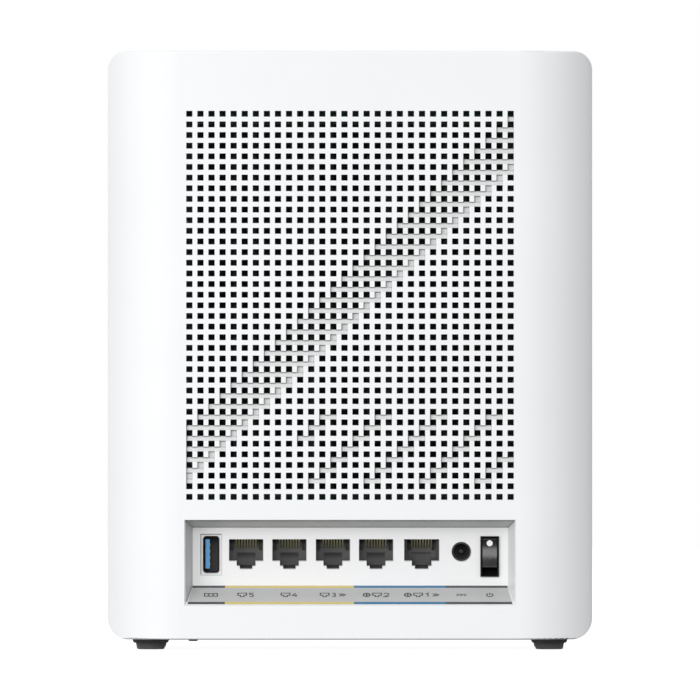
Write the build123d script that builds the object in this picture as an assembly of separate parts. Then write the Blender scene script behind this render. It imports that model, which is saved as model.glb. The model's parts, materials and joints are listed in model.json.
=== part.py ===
from build123d import *
import math
import os

# A tall free-standing wireless router with a flat, perforated rear face and a recessed port bay.
# Millimetres.  The origin is on the floor under the middle of the case, +Z is up, the port side
# faces -Y, and +X is to the right of somebody who looks at the ports.

# ---- case ----------------------------------------------------------------------------------
CASE_WIDTH = 175.6
CASE_DEPTH = 94.0
CASE_BOTTOM = 3.8
CASE_TOP = 216.4
CASE_MIDDLE = (CASE_BOTTOM + CASE_TOP) / 2
CASE_CORNER = 26.0          # radius of the upright corners, seen from above
TOP_ROUND = 6.7             # radius of the upper corners, seen from behind
BOTTOM_ROUND = 7.5          # radius of the lower corners, seen from behind
EDGE_ROUND = 0.6            # small break along the edges of the rear and front faces
WALL = 2.4
RIM_TOP = 7.2               # top of the ledge that the base plate rests on
RIM_INSET = 7.8             # from the case's outline to the opening in its bottom
CAVITY_BOTTOM_ROUND = 2.5
SEAM_WIDTH = 0.5            # groove where the two covers meet
SEAM_DEPTH = 0.4
TONGUE_REACH = 3.0          # the front cover's lip inside the rear cover
TONGUE_THICKNESS = 1.2
TONGUE_GAP = 0.1
TONGUE_BOTTOM = 12.0
TONGUE_ROUNDS = (1.0, 0.5)  # at the lower corners of its outer and inner outlines
OVERCUT = 1.0               # how far a cutting tool stands past the face it cuts
OVERLAP = 1.0               # how far two joined blocks run into each other
HOLE_GAP = 0.1              # round a screw, a socket or a sleeve that passes through a hole

FLAT_HALF_WIDTH = CASE_WIDTH / 2 - CASE_CORNER      # half width of the flat rear and front faces
REAR = -CASE_DEPTH / 2
REAR_INSIDE = REAR + WALL
FRONT = CASE_DEPTH / 2
FRONT_INSIDE = FRONT - WALL

# ---- base plate, screws, feet --------------------------------------------------------------
PLATE_BOTTOM = 4.4
PLATE_GAP = 0.2
PLATE_TOP = 9.0
FLANGE_INSET = 5.4
VENT_COUNT = 13
VENT_PITCH = 6.0
VENT_WIDTH = 3.0
VENT_LENGTH = 26.0
VENT_CENTRE_Y = 14.0
SCREW_X = 74.0
SCREW_Y = 8.0
SCREW_HEAD_RADIUS = 2.8
SCREW_SEAT = 6.6
SCREW_HEAD_HEIGHT = 1.8
SCREW_CROSS = (1.6, 0.35)   # half length and half width of each slot of the cross recess
SCREW_CROSS_DEPTH = 0.9
SCREW_RADIUS = 1.4
SCREW_TIP = 17.0
BOSS_RADIUS = 3.0
BOSS_TOP = 21.0
BOSS_RIB = 1.6
FOOT_X = 72.2
FOOT_Y = 23.0
FOOT_RADIUS = 6.535
FOOT_STEP = 2.27            # height of the narrower lower tier
FOOT_TREAD_TOP_RADIUS = 5.4
FOOT_TREAD_RADIUS = 4.9
FOOT_EDGE = 1.0
FOOT_TREAD_EDGE = 0.6
FOOT_SEAT = 5.2             # floor of the recess that the foot is glued into

# ---- rear grille ---------------------------------------------------------------------------
GRILLE_COLUMNS = 30
GRILLE_ROWS = 37
PITCH_X = 4.0
PITCH_Z = 3.842
HOLE_WIDTH = 2.25
HOLE_HEIGHT = 2.13
TOP_ROW_Z = 193.685
WINDOW_HALF_WIDTH = 61.0
WINDOW_BOTTOM = 52.4
WINDOW_TOP = 196.7
GRILLE_LIP = 1.2            # thickness of the flange behind the cover
GRILLE_LIP_REACH = 2.0      # how far the flange passes the window, above and below
GRILLE_LIP_LAND = 1.0       # how far it covers the panel's own edge
RELIEF_DEPTH = 1.2
BLIND_DEPTH = 1.8           # of the closed squares on the stripe's upper edge
STRIPE_COLUMNS = 6          # width of the sunk diagonal stripe, in columns
STRIPE_LAST_ROW = 34
HATCH_ROWS = range(28, 35)
HATCH_COLUMNS = range(10, 30)
HATCH_REPEAT = 5
HATCH_BAR = 2

# ---- port bay ------------------------------------------------------------------------------
BAY_DEPTH = 12.0
BAY_MOUTH = (59.8, 16.0, 47.07)     # half width, bottom and top where the bay meets the rear face
BAY_FLOOR = (57.2, 23.1, 44.4)      # the same at the port panel
BAY_WALL = 1.6
BAY_FLANGE = 3.0
BAY_FLANGE_THICKNESS = 1.2
PANEL = REAR + BAY_DEPTH
PANEL_THICKNESS = 1.8
PANEL_BACK = PANEL + PANEL_THICKNESS
LABEL_INSET = 0.8           # from the rear face to the label's lower edge
LABEL_HALF_WIDTHS = (58.65, 56.85)  # at its lower and upper edges
LABEL_THICKNESS = 0.2

# ---- port board and what stands on it ------------------------------------------------------
BOARD_THICKNESS = 1.6
PORT_BOARD_TOP = 25.8
PORT_BOARD_GAP = 0.2                # behind the panel
PORT_BOARD_BACK = -4.0
PORT_BOARD_HALF_WIDTH = 57.0
POST_X = 40.0
POST_RADIUS = 3.0
POST_Y = (-30.0, -8.0)

JACK_X = (-37.6, -21.95, -6.2, 9.4, 25.9)
JACK_WIDTH = 15.2
JACK_TOP = 41.2
JACK_LENGTH = 21.0
JACK_MOUTH_WIDTH = 12.3
JACK_MOUTH = (32.2, 39.96)          # bottom and top of the plug's body
JACK_STEP_WIDTH = 6.8
JACK_STEP_BOTTOM = 30.4
JACK_NOTCH_WIDTH = 4.5
JACK_NOTCH_BOTTOM = 29.3
JACK_MOUTH_DEPTH = 1.0              # all depths are from the panel's back
JACK_WALL_DEPTH = 11.0
JACK_LATCH_DEPTH = 12.6
JACK_LATCH_TOP = 35.0
JACK_CHANNEL_DEPTH = 15.0
JACK_CHANNEL_WIDTH = 1.5            # slots beside the contacts
JACK_CHANNEL_BOTTOM = 35.8
SHIELDED_JACK = 4                   # index of the socket with an inner shell
SHIELDED_GROWTH = 0.3
SHIELDED_LEDGE = 0.9
CONTACT_COUNT = 8
CONTACT_PITCH = 1.016
CONTACT_WIDTH = 0.45
CONTACT_THICKNESS = 0.35
CONTACT_DROP = 3.2
CONTACT_START = 0.6                 # behind the panel's back
CONTACT_RUN = 9.0

USB_X = -50.25
USB_Z = 34.46
USB_WIDTH = 5.7
USB_HEIGHT = 13.18
USB_SHEET = 0.35
USB_CORNER = 1.1
USB_FRONT = -34.7
USB_BACK = -20.0
USB_TONGUE_X = (-52.25, -50.75)
USB_TONGUE_Z = (29.35, 39.9)
USB_TONGUE_FRONT = -34.0
USB_PLUG_BACK = 2.0                 # thickness of the insulator across the shell's rear end
USB_RECESS_X = (-54.1, -46.5)
USB_RECESS_Z = (27.1, 41.9)
USB_RECESS_DEPTH = 0.8
USB_LEG_Y = (-30.0, -27.0)          # legs that stand on the port board
USB_CONTACTS = 4
USB_CONTACT_PITCH = 2.3
USB_CONTACT_THICKNESS = 0.12
USB_CONTACT_HALF_WIDTH = 0.5
USB_CONTACT_INSET = 0.5             # behind the tongue's tip

DC_X = 40.25
DC_Z = 35.5
DC_RADIUS = 3.4
DC_BORE = 2.85
DC_BORE_DEPTH = 10.5
DC_PIN_RADIUS = 1.05
DC_PIN_LENGTH = 9.6
DC_PIN_TIP = 0.5
DC_BODY_HALF_WIDTH = 4.5
DC_BODY_TOP = 40.0
DC_BODY_LENGTH = 14.0

SWITCH_X = 50.525
SWITCH_Z = 33.7
SWITCH_WIDTH = 6.55
SWITCH_HEIGHT = 14.5
SWITCH_PROUD = 0.8
SWITCH_BODY_HALF_WIDTH = 4.3
SWITCH_BODY_TOP = 41.45
SWITCH_BODY_BACK = -20.0
SWITCH_WELL_WIDTH = 5.7
SWITCH_WELL_HEIGHT = 14.0
SWITCH_WELL_BACK = -26.0
ROCKER_WIDTH = 5.2
ROCKER_HALF_HEIGHT = 5.4
ROCKER_TILT = 9.0                   # each way from level
ROCKER_PIVOT_Y = -31.6
ROCKER_PIVOT_Z = 34.3
ROCKER_REACH = 4.0                  # from the pivot to the middle of the hollow face
ROCKER_HOLLOW = 0.86                # how far the ends of the face stand past its middle
ROCKER_BACK = 1.6
ROCKER_BACK_HALF_HEIGHT = 4.4
ROCKER_EDGE = 0.3
TRUNNION_RADIUS = 1.0
TRUNNION_LENGTH = 1.1
TRUNNION_GAP = 0.06

# ---- upright stack behind the grille -------------------------------------------------------
MAIN_BOARD_REAR = -21.0
MAIN_BOARD_FRONT = MAIN_BOARD_REAR + BOARD_THICKNESS
MAIN_BOARD_HALF_WIDTH = 65.0
MAIN_BOARD_Z = (52.0, 196.0)
MAIN_SCREW_X = 62.5
MAIN_SCREW_Z = (54.2, 193.8)
MAIN_SCREW_RADIUS = 1.1
MAIN_SCREW_HEAD = 2.3
MAIN_SCREW_HEAD_HEIGHT = 1.5
MAIN_SCREW_TIP = -14.4
FRAME_FRONT = -11.4
FRAME_HALF_WIDTH = 78.0
FRAME_TOP = 207.0
FRAME_RAIL_BOTTOM = 48.0
FRAME_HOLE_HALF_WIDTH = 60.0
FRAME_HOLE_Z = (56.0, 191.0)
FRAME_LEG_INSIDE = 64.0
CAN_HEIGHT = 3.0
CAN_SHEET = 0.3
CAN_EDGE = 0.6
PAD_THICKNESS = 1.0
PAD_MARGIN = 3.0
FRONT_PAD_HALF = 15.0
# middle x, middle z, width and height of each shield can
CANS = ((-28.0, 152.0, 40.0, 44.0), (26.0, 140.0, 38.0, 40.0), (0.0, 88.0, 44.0, 36.0))
SINK_HALF_WIDTH = 56.0
REAR_SINK_Z = (58.0, 190.0)
REAR_SINK_BASE = 4.0
REAR_FIN_TIP = -42.0
REAR_FIN_COUNT = 17
FRONT_SINK_Z = (72.0, 186.0)
FRONT_SINK_GAP = 2.0
FRONT_SINK_BASE = 3.0
FRONT_FIN_TIP = 6.0
FRONT_FIN_COUNT = 13
FIN_THICKNESS = 1.4
SINK_POST_RADIUS = 3.0
SINK_POST_INSET = 5.0

# ---- antennas and their leads --------------------------------------------------------------
ANTENNA_THICKNESS = 0.8
ANTENNA_Y = (-18.0, 0.0)
SIDE_ANTENNA_LENGTH = 42.0
SIDE_ANTENNA_Z = (96.0, 154.0)
TOP_ANTENNA_LENGTH = 30.0
TOP_ANTENNA_X = (-56.0, -19.0, 19.0, 56.0)
LEAD_RADIUS = 0.65
LEAD_BEND = 4.0
LEAD_START_Y = -12.0
LEAD_Y = -22.2
PLUG_SIZE = 2.6                     # square coaxial plug on the main board
SIDE_PLUG_X = 60.0
TOP_PLUG_Z = 188.0

# ---- link between the boards ---------------------------------------------------------------
LINK_HALF_WIDTH = 16.0
LINK_Y = -7.0
LINK_Z = 61.0
LINK_BEND = 4.0
RIBBON_THICKNESS = 0.8
RIBBON_MARGIN = 1.0
HEADER_HEIGHT = 5.0
HEADER_THICKNESS = 4.0

# ---- buttons in the base -------------------------------------------------------------------
BUTTON_Y = -28.0
WPS_X = -56.8
WPS_RADIUS = 1.7
WPS_BOTTOM = 3.0
WPS_EDGE = 0.4
RESET_X = -50.0
RESET_RADIUS = 0.9
RESET_BOTTOM = 5.4
RESET_EDGE = 0.2
BUTTON_GAP = 0.3
COLLAR_RADIUS = 2.8
COLLAR_THICKNESS = 1.0
COLLAR_BOTTOM = 9.1
BUTTON_TOP = 10.7
SWITCH_BLOCK_BOTTOM = 11.8
SWITCH_BLOCK = 6.0
PLUNGER_RADIUS = 1.7
PLUNGER_PROUD = 0.3
BUTTON_BOARD_BOTTOM = 14.0
BUTTON_BOARD_THICKNESS = 1.2
BUTTON_BOARD_X = (-62.0, -44.0)
BUTTON_BOARD_Y = (-32.0, -18.0)
BUTTON_POST_RADIUS = 1.6

# ---- status light in the front cover -------------------------------------------------------
LIGHT_HALF_WIDTH = 8.0
LIGHT_Z = 31.0
LIGHT_HEIGHT = 2.0
LIGHT_GAP = 0.05
LENS_FLANGE = 1.5
LENS_FLANGE_THICKNESS = 1.2
LIGHT_BOARD_Y = (40.6, 41.8)
LIGHT_BOARD_HALF_WIDTH = 14.0
LIGHT_BOARD_HEIGHT = 12.0
LIGHT_POST_X = 12.0
LIGHT_POST_RADIUS = 1.6


# ---- helpers -------------------------------------------------------------------------------
def block(x0, x1, y0, y1, z0, z1):
    """Box between two corners."""
    centre = Pos((x0 + x1) / 2, (y0 + y1) / 2, (z0 + z1) / 2)
    return centre * Box(x1 - x0, y1 - y0, z1 - z0)


def upright_rod(x, y, radius, z0, z1):
    """Cylinder along Z."""
    return Pos(x, y, (z0 + z1) / 2) * Cylinder(radius, z1 - z0)


def level_rod(x, z, radius, y0, y1):
    """Cylinder along Y."""
    return Pos(x, (y0 + y1) / 2, z) * Rot(90, 0, 0) * Cylinder(radius, y1 - y0)


def side_profile(points, x0, x1):
    """Prism with an outline of (y, z) points, from x0 to x1."""
    outline = Plane.YZ.offset(x0) * make_face(Polyline(*points, close=True))
    return extrude(outline, amount=x1 - x0)


def tube(points, radius, bend):
    """Round lead along straight runs joined by tangent arcs."""
    path = FilletPolyline(*points, radius=bend)
    section = Plane(origin=path @ 0, z_dir=path % 0) * Circle(radius)
    return sweep(section, path=path)


def joined(pieces):
    """All pieces of a list fused into one."""
    result = pieces[0]
    for piece in pieces[1:]:
        result += piece
    return result


def save(name, *pieces):
    """Writes one node, as one solid or as a group of separate solids."""
    solids = [solid for piece in pieces for solid in piece.solids()]
    shape = solids[0] if len(solids) == 1 else Compound(solids)
    export_step(shape, f"parts/{name}.step")


# ---- case ----------------------------------------------------------------------------------
def case_slab(inset, z0, z1):
    """Slab with the case's outline, moved inwards by inset."""
    outline = RectangleRounded(CASE_WIDTH - 2 * inset, CASE_DEPTH - 2 * inset, CASE_CORNER - inset)
    return extrude(Pos(0, 0, z0) * outline, amount=z1 - z0)


def corner_cutter(x, z, radius):
    """What a rounded corner leaves out of the square corner at (x, z), seen from behind."""
    side = math.copysign(1, x)
    up = 1 if z > CASE_MIDDLE else -1
    centre_x = x - side * radius
    centre_z = z - up * radius
    corner_x = x + side * OVERCUT
    corner_z = z + up * OVERCUT
    square = block(min(centre_x, corner_x), max(centre_x, corner_x), 2 * REAR, 2 * FRONT,
                   min(centre_z, corner_z), max(centre_z, corner_z))
    return square - level_rod(centre_x, centre_z, radius, 2 * REAR - OVERCUT, 2 * FRONT + OVERCUT)


def rounded_case(inset, z0, z1, top_round, bottom_round, edge_round=0):
    """Slab with its four corners rounded as seen from behind, and small rounds on its rims."""
    body = case_slab(inset, z0, z1)
    if edge_round:
        rims = body.edges().group_by(Axis.Z)[-1] + body.edges().group_by(Axis.Z)[0]
        body = fillet(rims, edge_round)
    side = CASE_WIDTH / 2 - inset
    for x in (-side, side):
        body -= corner_cutter(x, z1, top_round)
        body -= corner_cutter(x, z0, bottom_round)
    return body


def case_envelope():
    return rounded_case(0, CASE_BOTTOM, CASE_TOP, TOP_ROUND, BOTTOM_ROUND, EDGE_ROUND)


def case_shell():
    """Both covers in one: a hollow case with an opening in its bottom and a groove at the seam."""
    envelope = case_envelope()
    cavity = rounded_case(WALL, RIM_TOP, CASE_TOP - WALL, TOP_ROUND - WALL, CAVITY_BOTTOM_ROUND)
    opening = case_slab(RIM_INSET, CASE_BOTTOM - OVERCUT, RIM_TOP + OVERCUT)
    core = rounded_case(SEAM_DEPTH, CASE_BOTTOM + SEAM_DEPTH, CASE_TOP - SEAM_DEPTH,
                        TOP_ROUND - SEAM_DEPTH, BOTTOM_ROUND - SEAM_DEPTH)
    seam_zone = block(-CASE_WIDTH, CASE_WIDTH, -SEAM_WIDTH / 2, SEAM_WIDTH / 2, 0, CASE_TOP + OVERCUT)
    return envelope - cavity - opening - (seam_zone - core)


def half_space(y0, y1):
    return block(-CASE_WIDTH, CASE_WIDTH, y0, y1, 0, CASE_TOP + OVERCUT)


def screw_boss(x, y):
    """Boss for a base screw, with a rib to the side wall."""
    side = math.copysign(1, x)
    wall = side * (CASE_WIDTH / 2 - WALL / 2)
    rib = block(min(x, wall), max(x, wall), y - BOSS_RIB / 2, y + BOSS_RIB / 2, PLATE_TOP, BOSS_TOP)
    pilot = upright_rod(x, y, SCREW_RADIUS + HOLE_GAP, PLATE_TOP - OVERCUT, SCREW_TIP + OVERCUT)
    return upright_rod(x, y, BOSS_RADIUS, PLATE_TOP, BOSS_TOP) + rib - pilot


def rear_cover():
    cover = case_shell() & half_space(REAR - OVERCUT, 0)
    window = block(-WINDOW_HALF_WIDTH, WINDOW_HALF_WIDTH, REAR - OVERCUT, REAR_INSIDE + OVERCUT,
                   WINDOW_BOTTOM, WINDOW_TOP)
    cover = cover - window - bay_space(REAR - OVERCUT, REAR_INSIDE + OVERCUT, 0)
    for side in (-1, 1):
        cover += screw_boss(side * SCREW_X, -SCREW_Y)
    return cover


def tongue():
    """Lip that runs round the seam inside the rear cover."""
    def ring(outer_inset, y0, y1):
        inner_inset = WALL + TONGUE_THICKNESS
        outer = rounded_case(outer_inset, TONGUE_BOTTOM, CASE_TOP - outer_inset,
                             TOP_ROUND - outer_inset, TONGUE_ROUNDS[0])
        inner = rounded_case(inner_inset, TONGUE_BOTTOM - OVERCUT, CASE_TOP - inner_inset,
                             TOP_ROUND - inner_inset, TONGUE_ROUNDS[1])
        return (outer - inner) & block(-CASE_WIDTH, CASE_WIDTH, y0, y1,
                                       TONGUE_BOTTOM + OVERCUT, CASE_TOP)
    return ring(WALL + TONGUE_GAP, -TONGUE_REACH, 0) + ring(WALL, 0, TONGUE_REACH)


def front_cover():
    cover = case_shell() & half_space(0, FRONT + OVERCUT)
    cover += tongue()
    slot = block(-LIGHT_HALF_WIDTH, LIGHT_HALF_WIDTH, FRONT_INSIDE - OVERCUT, FRONT + OVERCUT,
                 LIGHT_Z - LIGHT_HEIGHT / 2, LIGHT_Z + LIGHT_HEIGHT / 2)
    cover -= slot
    for side in (-1, 1):
        cover += screw_boss(side * SCREW_X, SCREW_Y)
        cover += level_rod(side * LIGHT_POST_X, LIGHT_Z, LIGHT_POST_RADIUS,
                           LIGHT_BOARD_Y[1], FRONT_INSIDE + OVERCUT)
    return cover


# ---- base ----------------------------------------------------------------------------------
def foot_places():
    return [(x, y) for x in (-FOOT_X, FOOT_X) for y in (-FOOT_Y, FOOT_Y)]


def screw_places():
    return [(x, y) for x in (-SCREW_X, SCREW_X) for y in (-SCREW_Y, SCREW_Y)]


def base_plate():
    plate = case_slab(RIM_INSET + PLATE_GAP, PLATE_BOTTOM, RIM_TOP)
    plate += case_slab(FLANGE_INSET, RIM_TOP, PLATE_TOP)
    for x in (-POST_X, POST_X):
        for y in POST_Y:
            plate += upright_rod(x, y, POST_RADIUS, PLATE_TOP, PORT_BOARD_TOP - BOARD_THICKNESS)
    for x in BUTTON_BOARD_X:
        inwards = BUTTON_POST_RADIUS * (1 if x == BUTTON_BOARD_X[0] else -1)
        post_y = BUTTON_BOARD_Y[1] - BUTTON_POST_RADIUS
        plate += upright_rod(x + inwards, post_y, BUTTON_POST_RADIUS, PLATE_TOP, BUTTON_BOARD_BOTTOM)
    cuts = []
    for index in range(VENT_COUNT):
        x = (index - (VENT_COUNT - 1) / 2) * VENT_PITCH
        slot = SlotOverall(VENT_LENGTH, VENT_WIDTH, rotation=90)
        cuts.append(extrude(Pos(x, VENT_CENTRE_Y, 0) * slot, amount=PLATE_TOP + OVERCUT))
    for x, y in foot_places():
        cuts.append(upright_rod(x, y, FOOT_RADIUS + PLATE_GAP, PLATE_BOTTOM - OVERCUT, FOOT_SEAT))
    for x, y in screw_places():
        head_hole = SCREW_HEAD_RADIUS + PLATE_GAP
        cuts.append(upright_rod(x, y, head_hole, PLATE_BOTTOM - OVERCUT, SCREW_SEAT))
        cuts.append(upright_rod(x, y, SCREW_RADIUS + PLATE_GAP, 0, PLATE_TOP + OVERCUT))
    for x, radius in ((WPS_X, WPS_RADIUS), (RESET_X, RESET_RADIUS)):
        cuts.append(upright_rod(x, BUTTON_Y, radius + BUTTON_GAP, 0, PLATE_TOP + OVERCUT))
    return plate - cuts


def base_screw(x, y):
    """Pan-head screw driven upwards through the base plate."""
    head_bottom = SCREW_SEAT - SCREW_HEAD_HEIGHT
    head = upright_rod(x, y, SCREW_HEAD_RADIUS, head_bottom, SCREW_SEAT)
    shank = upright_rod(x, y, SCREW_RADIUS, SCREW_SEAT, SCREW_TIP)
    screw = head + shank
    for half_x, half_y in (SCREW_CROSS, SCREW_CROSS[::-1]):
        screw -= block(x - half_x, x + half_x, y - half_y, y + half_y,
                       head_bottom - OVERCUT, head_bottom + SCREW_CROSS_DEPTH)
    return screw


def foot(x, y):
    """Two-tier rubber foot."""
    top = upright_rod(x, y, FOOT_RADIUS, FOOT_STEP, FOOT_SEAT)
    top = fillet(top.edges().group_by(Axis.Z)[0], FOOT_EDGE)
    tread = Pos(x, y, FOOT_STEP / 2) * Cone(FOOT_TREAD_RADIUS, FOOT_TREAD_TOP_RADIUS, FOOT_STEP)
    return top + fillet(tread.edges().group_by(Axis.Z)[0], FOOT_TREAD_EDGE)


# ---- rear grille ---------------------------------------------------------------------------
def column_x(column):
    return (column - (GRILLE_COLUMNS - 1) / 2) * PITCH_X


def row_z(row):
    return TOP_ROW_Z - row * PITCH_Z


def stripe_segments():
    """Sunk rib lengths of the diagonal stripe: (row above the rib, first column, last column)."""
    segments = []
    for row in range(STRIPE_LAST_ROW + 1):
        first = max(GRILLE_COLUMNS - 1 - row, 0)
        last = min(GRILLE_COLUMNS - 2 - row + STRIPE_COLUMNS, GRILLE_COLUMNS - 1)
        if last >= first:
            segments.append((row, first, last))
    return segments


def hatch_segments():
    """Short slanted bars low on the grille, in the same form as stripe_segments()."""
    segments = []
    for row in HATCH_ROWS:
        for column in HATCH_COLUMNS:
            if (column + row) % HATCH_REPEAT == 0 and column + HATCH_BAR - 1 in HATCH_COLUMNS:
                segments.append((row, column, column + HATCH_BAR - 1))
    return segments


def blind_holes():
    """Grille places closed by the stripe's upper edge, as (row, column)."""
    places = set()
    for row in range(STRIPE_LAST_ROW + 1):
        column = GRILLE_COLUMNS - 2 - row + STRIPE_COLUMNS
        if 0 <= column < GRILLE_COLUMNS:
            places.add((row, column))
    return places


def hole_outline(row, column):
    centre = Pos(column_x(column), row_z(row))
    return (Plane.XZ.offset(-REAR) * centre * Rectangle(HOLE_WIDTH, HOLE_HEIGHT)).wire()


def rear_grille():
    blind = blind_holes()
    places = [(row, column) for row in range(GRILLE_ROWS) for column in range(GRILLE_COLUMNS)]
    middle_z = (WINDOW_BOTTOM + WINDOW_TOP) / 2
    rim = Rectangle(2 * WINDOW_HALF_WIDTH, WINDOW_TOP - WINDOW_BOTTOM)
    rim = (Plane.XZ.offset(-REAR) * Pos(0, middle_z) * rim).wire()
    sheet = Face(rim, [hole_outline(*place) for place in places if place not in blind])
    panel = extrude(sheet, amount=-WALL)

    cuts = []
    for row, first, last in stripe_segments() + hatch_segments():
        cuts.append(block(column_x(first) - HOLE_WIDTH / 2, column_x(last) + HOLE_WIDTH / 2,
                          REAR - OVERCUT, REAR + RELIEF_DEPTH,
                          row_z(row + 1) + HOLE_HEIGHT / 2, row_z(row) - HOLE_HEIGHT / 2))
    for row, column in blind:
        cuts.append(block(column_x(column) - HOLE_WIDTH / 2, column_x(column) + HOLE_WIDTH / 2,
                          REAR - OVERCUT, REAR + BLIND_DEPTH,
                          row_z(row) - HOLE_HEIGHT / 2, row_z(row) + HOLE_HEIGHT / 2))
    panel -= cuts

    flange = block(-FLAT_HALF_WIDTH, FLAT_HALF_WIDTH, REAR_INSIDE, REAR_INSIDE + GRILLE_LIP,
                   WINDOW_BOTTOM - GRILLE_LIP_REACH, WINDOW_TOP + GRILLE_LIP_REACH)
    inner = WINDOW_HALF_WIDTH - GRILLE_LIP_LAND
    flange -= block(-inner, inner, REAR_INSIDE - OVERCUT, REAR_INSIDE + GRILLE_LIP + OVERCUT,
                    WINDOW_BOTTOM + GRILLE_LIP_LAND, WINDOW_TOP - GRILLE_LIP_LAND)
    return panel + flange


# ---- port bay ------------------------------------------------------------------------------
def bay_section(y, grow):
    """Rectangle of the flared bay at depth y, made larger by grow on each side."""
    share = (y - REAR) / BAY_DEPTH
    half_width, bottom, top = [m + (f - m) * share for m, f in zip(BAY_MOUTH, BAY_FLOOR)]
    size = Rectangle(2 * (half_width + grow), top - bottom + 2 * grow)
    return Plane.XZ.offset(-y) * Pos(0, (bottom + top) / 2) * size


def bay_space(y0, y1, grow):
    """The flared space of the bay between two depths."""
    return loft([bay_section(y0, grow), bay_section(y1, grow)], ruled=True)


def jack_opening(index, y0, y1):
    """Stepped opening for a network plug, latch downwards."""
    x = JACK_X[index]
    grow = SHIELDED_GROWTH if index == SHIELDED_JACK else 0
    top = JACK_MOUTH[1]
    steps = ((JACK_MOUTH_WIDTH, JACK_MOUTH[0]), (JACK_STEP_WIDTH, JACK_STEP_BOTTOM),
             (JACK_NOTCH_WIDTH, JACK_NOTCH_BOTTOM))
    return joined([block(x - (width + grow) / 2, x + (width + grow) / 2, y0, y1, bottom, top)
                   for width, bottom in steps])


def jack_cavity(index):
    """Space inside a network socket: the mouth, the plug's space, the latch's space and two slots."""
    x = JACK_X[index]
    bottom, top = JACK_MOUTH
    y = PANEL_BACK
    ledge = SHIELDED_LEDGE if index == SHIELDED_JACK else 0
    half = JACK_MOUTH_WIDTH / 2 - ledge
    space = jack_opening(index, y - OVERCUT, y + JACK_MOUTH_DEPTH)
    space += block(x - half, x + half, y, y + JACK_WALL_DEPTH, bottom + ledge, top)
    space += block(x - JACK_STEP_WIDTH / 2, x + JACK_STEP_WIDTH / 2, y, y + JACK_LATCH_DEPTH,
                   JACK_STEP_BOTTOM, JACK_LATCH_TOP)
    space += block(x - JACK_NOTCH_WIDTH / 2, x + JACK_NOTCH_WIDTH / 2, y, y + JACK_CHANNEL_DEPTH,
                   JACK_NOTCH_BOTTOM, JACK_STEP_BOTTOM)
    for side in (-1, 1):
        edge = x + side * half
        inner = edge - side * JACK_CHANNEL_WIDTH
        space += block(min(edge, inner), max(edge, inner), y, y + JACK_CHANNEL_DEPTH,
                       JACK_CHANNEL_BOTTOM, top)
    return space


def usb_outline(grow, y0, y1):
    """Rounded rectangle of the USB shell, made larger by grow on each side, as a prism."""
    outline = RectangleRounded(USB_WIDTH + 2 * grow, USB_HEIGHT + 2 * grow, USB_CORNER + grow)
    return extrude(Plane.XZ.offset(-y0) * Pos(USB_X, USB_Z) * outline, amount=-(y1 - y0))


def port_bay():
    tray = bay_space(REAR_INSIDE, PANEL_BACK, BAY_WALL)
    _, bottom, top = BAY_MOUTH
    tray += block(-FLAT_HALF_WIDTH, FLAT_HALF_WIDTH, REAR_INSIDE, REAR_INSIDE + BAY_FLANGE_THICKNESS,
                  bottom - BAY_FLANGE, top + BAY_FLANGE)
    tray -= bay_space(REAR - OVERCUT, PANEL, 0)
    cuts = [jack_opening(index, PANEL - OVERCUT, PANEL_BACK + OVERCUT) for index in range(len(JACK_X))]
    cuts.append(block(*USB_RECESS_X, PANEL - OVERCUT, PANEL + USB_RECESS_DEPTH, *USB_RECESS_Z))
    cuts.append(usb_outline(HOLE_GAP, PANEL - OVERCUT, PANEL_BACK + OVERCUT))
    cuts.append(level_rod(DC_X, DC_Z, DC_RADIUS + HOLE_GAP, PANEL - OVERCUT, PANEL_BACK + OVERCUT))
    cuts.append(switch_prism(SWITCH_WIDTH + 2 * HOLE_GAP, SWITCH_HEIGHT + 2 * HOLE_GAP,
                             PANEL - OVERCUT, PANEL_BACK + OVERCUT))
    return tray - cuts


def port_label():
    """Printed sheet on the bay's sloping sill, wider at its lower edge."""
    rise = BAY_FLOOR[1] - BAY_MOUTH[1]
    slope = math.hypot(BAY_DEPTH, rise)
    normal = (0, -rise / slope, BAY_DEPTH / slope)
    corners = []
    for inset, half_width in ((LABEL_INSET, LABEL_HALF_WIDTHS[0]),
                              (BAY_DEPTH - LABEL_THICKNESS, LABEL_HALF_WIDTHS[1])):
        y = REAR + inset
        z = BAY_MOUTH[1] + rise * inset / BAY_DEPTH
        corners.append([(-half_width, y, z), (half_width, y, z)])
    (low_left, low_right), (high_left, high_right) = corners
    sheet = make_face(Polyline(low_left, low_right, high_right, high_left, close=True))
    return extrude(sheet, amount=LABEL_THICKNESS, dir=normal)


# ---- sockets and the power switch ----------------------------------------------------------
def network_jack(index):
    x = JACK_X[index]
    housing = block(x - JACK_WIDTH / 2, x + JACK_WIDTH / 2, PANEL_BACK, PANEL_BACK + JACK_LENGTH,
                    PORT_BOARD_TOP, JACK_TOP)
    return housing - jack_cavity(index)


def network_contacts(index):
    """Eight sprung wires that slope down from the roof of the jack."""
    y0 = PANEL_BACK + CONTACT_START
    y1 = y0 + CONTACT_RUN
    roof = JACK_MOUTH[1]
    outline = ((y0, roof), (y1, roof - CONTACT_DROP), (y1, roof - CONTACT_DROP + CONTACT_THICKNESS),
               (y0 + CONTACT_RUN * CONTACT_THICKNESS / CONTACT_DROP, roof))
    wires = []
    for number in range(CONTACT_COUNT):
        x = JACK_X[index] + (number - (CONTACT_COUNT - 1) / 2) * CONTACT_PITCH
        wires.append(side_profile(outline, x - CONTACT_WIDTH / 2, x + CONTACT_WIDTH / 2))
    return wires


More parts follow.
